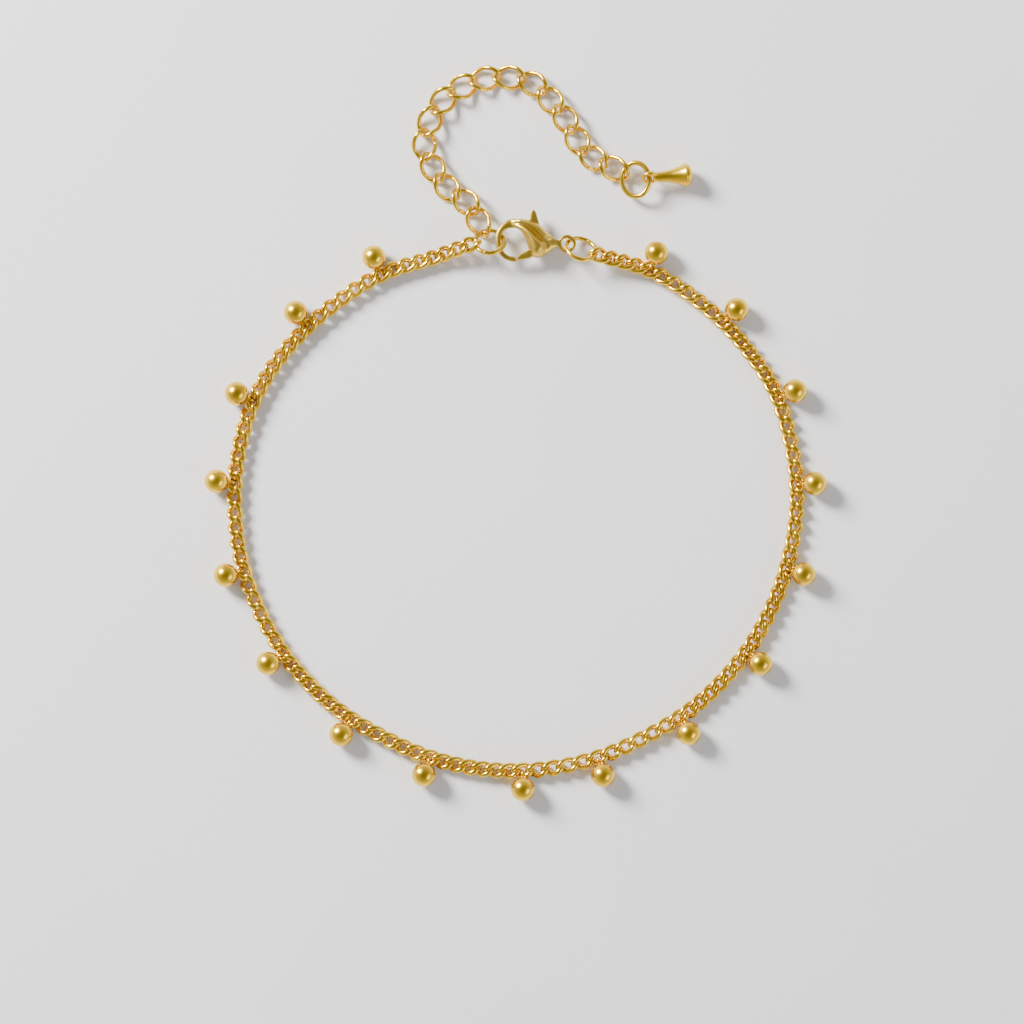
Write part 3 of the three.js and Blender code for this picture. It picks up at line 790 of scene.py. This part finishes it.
clasp_body = clasp_piece("clasp_shell", body_heights, (-2.8, -2.6), (8.0, 3.3), "anklet", "clasp_body")
slot_shapes = (grown(GATE), grown(THUMB), round_outline(LEVER_BOSS + PIVOT_GAP))
for share in (0, 1 / 3, 2 / 3, 1):
    for shape in slot_shapes:
        slot = prism(turned(shape, -share * LEVER_SWING), HALF_LEVER + PIVOT_GAP)
        combine(clasp_body, scratch(slot), "DIFFERENCE")
pin = prism(round_outline(PIN_RADIUS), HALF_PIN)
combine(clasp_body, scratch(pin), "UNION")

clasp_lever = clasp_piece("thumb_lever", lever_heights, (-0.1, -2.5), (4.4, 4.4), "lever", "clasp_lever")
bore = prism(round_outline(PIN_RADIUS + PIVOT_GAP), HALF_BORE)
combine(clasp_lever, scratch(bore), "DIFFERENCE")

for obj in (clasp_body, clasp_lever):
    for v in obj.data.vertices:
        v.co += Vector(clasp_place * MM)
    obj.data.shade_smooth()


# Stage, light and camera

FLOOR_HALF, FLOOR_GAP = 1.2, 0.00002


def floor_material():
    m = bpy.data.materials.new("pale_floor")
    m.use_nodes = True
    n, l = m.node_tree.nodes, m.node_tree.links
    shader = n["Principled BSDF"]
    socket(shader, "Roughness", 0.75)
    place = n.new("ShaderNodeTexCoord")
    noise = n.new("ShaderNodeTexNoise")
    noise.inputs["Scale"].default_value = 30
    tint = n.new("ShaderNodeValToRGB")
    tint.color_ramp.elements[0].color = (0.84, 0.84, 0.85, 1)
    tint.color_ramp.elements[1].color = (0.89, 0.89, 0.9, 1)
    l.new(place.outputs["Object"], noise.inputs["Vector"])
    l.new(noise.outputs["Fac"], tint.inputs["Fac"])
    l.new(tint.outputs["Color"], shader.inputs["Base Color"])
    return m


def stage_floor():
    mesh = bpy.data.meshes.new("floor")
    s = FLOOR_HALF
    mesh.from_pydata([(-s, -s, 0), (s, -s, 0), (s, s, 0), (-s, s, 0)], [], [(0, 1, 2, 3)])
    mesh.materials.append(floor_material())
    obj = bpy.data.objects.new("floor", mesh)
    bpy.context.scene.collection.objects.link(obj)
    obj.location.z = -FLOOR_GAP


def softbox(name, place, target, size, power, tint):
    light = bpy.data.lights.new(name, "AREA")
    light.shape = "RECTANGLE"
    light.size, light.size_y = size
    light.energy = power
    light.color = tint
    obj = bpy.data.objects.new(name, light)
    obj.location = place
    obj.rotation_euler = (Vector(target) - Vector(place)).to_track_quat("-Z", "Y").to_euler()
    bpy.context.scene.collection.objects.link(obj)


def studio_light():
    world = bpy.data.worlds.new("studio")
    bpy.context.scene.world = world
    world.use_nodes = True
    n, l = world.node_tree.nodes, world.node_tree.links
    place = n.new("ShaderNodeTexCoord")
    split = n.new("ShaderNodeSeparateXYZ")
    sky = n.new("ShaderNodeValToRGB")
    sky.color_ramp.elements[0].position = 0.25
    sky.color_ramp.elements[0].color = (0.98, 0.98, 1, 1)
    sky.color_ramp.elements[1].position = 0.95
    sky.color_ramp.elements[1].color = (0.27, 0.27, 0.28, 1)
    l.new(place.outputs["Generated"], split.inputs["Vector"])
    l.new(split.outputs["Z"], sky.inputs["Fac"])
    l.new(sky.outputs["Color"], n["Background"].inputs["Color"])
    n["Background"].inputs["Strength"].default_value = 0.85
    softbox("key", (-0.5, 0.38, 0.39), (0, 0, 0), (0.24, 0.24), 18, (1, 0.98, 0.95))
    softbox("fill", (0.55, -0.3, 0.45), (0, 0, 0), (0.5, 0.3), 1.6, (0.95, 0.97, 1))


VIEW_DISTANCE = 0.55
VIEW_WIDTH = 133.12 * MM
VIEW_AIM = (LOOP_MIDDLE + [-0.52, -0.52, 0]) * MM
VIEW_TILT = 3


def main_camera():
    data = bpy.data.cameras.new("camera")
    data.sensor_width = 36
    data.lens = 36 * VIEW_DISTANCE / VIEW_WIDTH
    data.clip_start, data.clip_end = 0.01, 10
    cam = bpy.data.objects.new("camera", data)
    t = math.radians(VIEW_TILT)
    cam.location = Vector(VIEW_AIM) + Vector((0, -math.sin(t), math.cos(t))) * VIEW_DISTANCE
    cam.rotation_euler = (t, 0, 0)
    bpy.context.scene.collection.objects.link(cam)
    bpy.context.scene.camera = cam


stage_floor()
studio_light()
main_camera()
